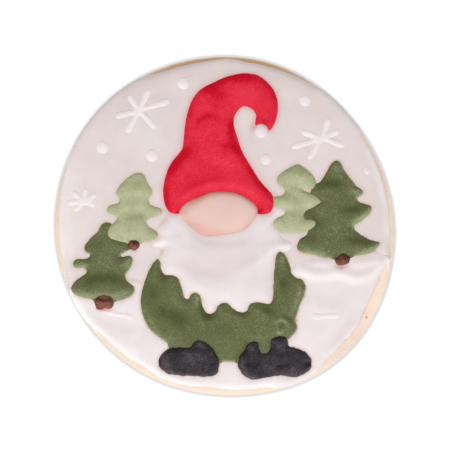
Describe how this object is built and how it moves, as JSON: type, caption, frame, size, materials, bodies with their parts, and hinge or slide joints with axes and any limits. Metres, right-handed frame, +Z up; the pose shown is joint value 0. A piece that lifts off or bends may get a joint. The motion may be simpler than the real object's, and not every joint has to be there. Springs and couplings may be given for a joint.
{
  "type": "decorated butter cookie",
  "caption": "Round butter cookie with a flat base, iced on top with a bearded folk gnome in a pointed hat among fir trees, snow and piped snowflakes.",
  "frame": {"origin": "middle of the flat underside, at the bottom centre of the whole cookie's bounding box", "axes": "+Z up through the cookie's thickness to the iced side, +Y towards the tip of the gnome's hat as the picture stands upright, +X to the picture's right"},
  "size_m": [0.085, 0.085, 0.0105],
  "materials": {
    "biscuit": "matte",
    "white_icing": "satin",
    "red_icing": "matte",
    "skin_icing": "satin",
    "pale_green_icing": "matte",
    "dark_green_icing": "matte",
    "black_icing": "matte",
    "brown_icing": "satin"
  },
  "bodies": {
    "root": {"cookie": "biscuit", "icing_sky": "white_icing", "icing_sky_left": "white_icing", "icing_sky_right": "white_icing", "icing_snow": "white_icing", "hat": "red_icing", "hat_bobble": "white_icing", "nose": "skin_icing", "beard": "white_icing", "trousers": "dark_green_icing", "boot_left": "black_icing", "boot_right": "black_icing", "tree_left_pale": "pale_green_icing", "tree_left_dark": "dark_green_icing", "tree_right_pale": "pale_green_icing", "tree_right_dark": "dark_green_icing", "trunk_left_pale": "brown_icing", "trunk_left_dark": "brown_icing", "trunk_right_dark": "brown_icing", "snowflake_left": "white_icing", "snowflake_right": "white_icing", "snowflake_small": "white_icing", "snow_dot_1": "white_icing", "snow_dot_2": "white_icing", "snow_dot_3": "white_icing", "snow_dot_4": "white_icing", "snow_dot_5": "white_icing", "snow_dot_6": "white_icing", "snow_stroke_left": "white_icing", "snow_stroke_right": "white_icing"}
  },
  "joints": []
}
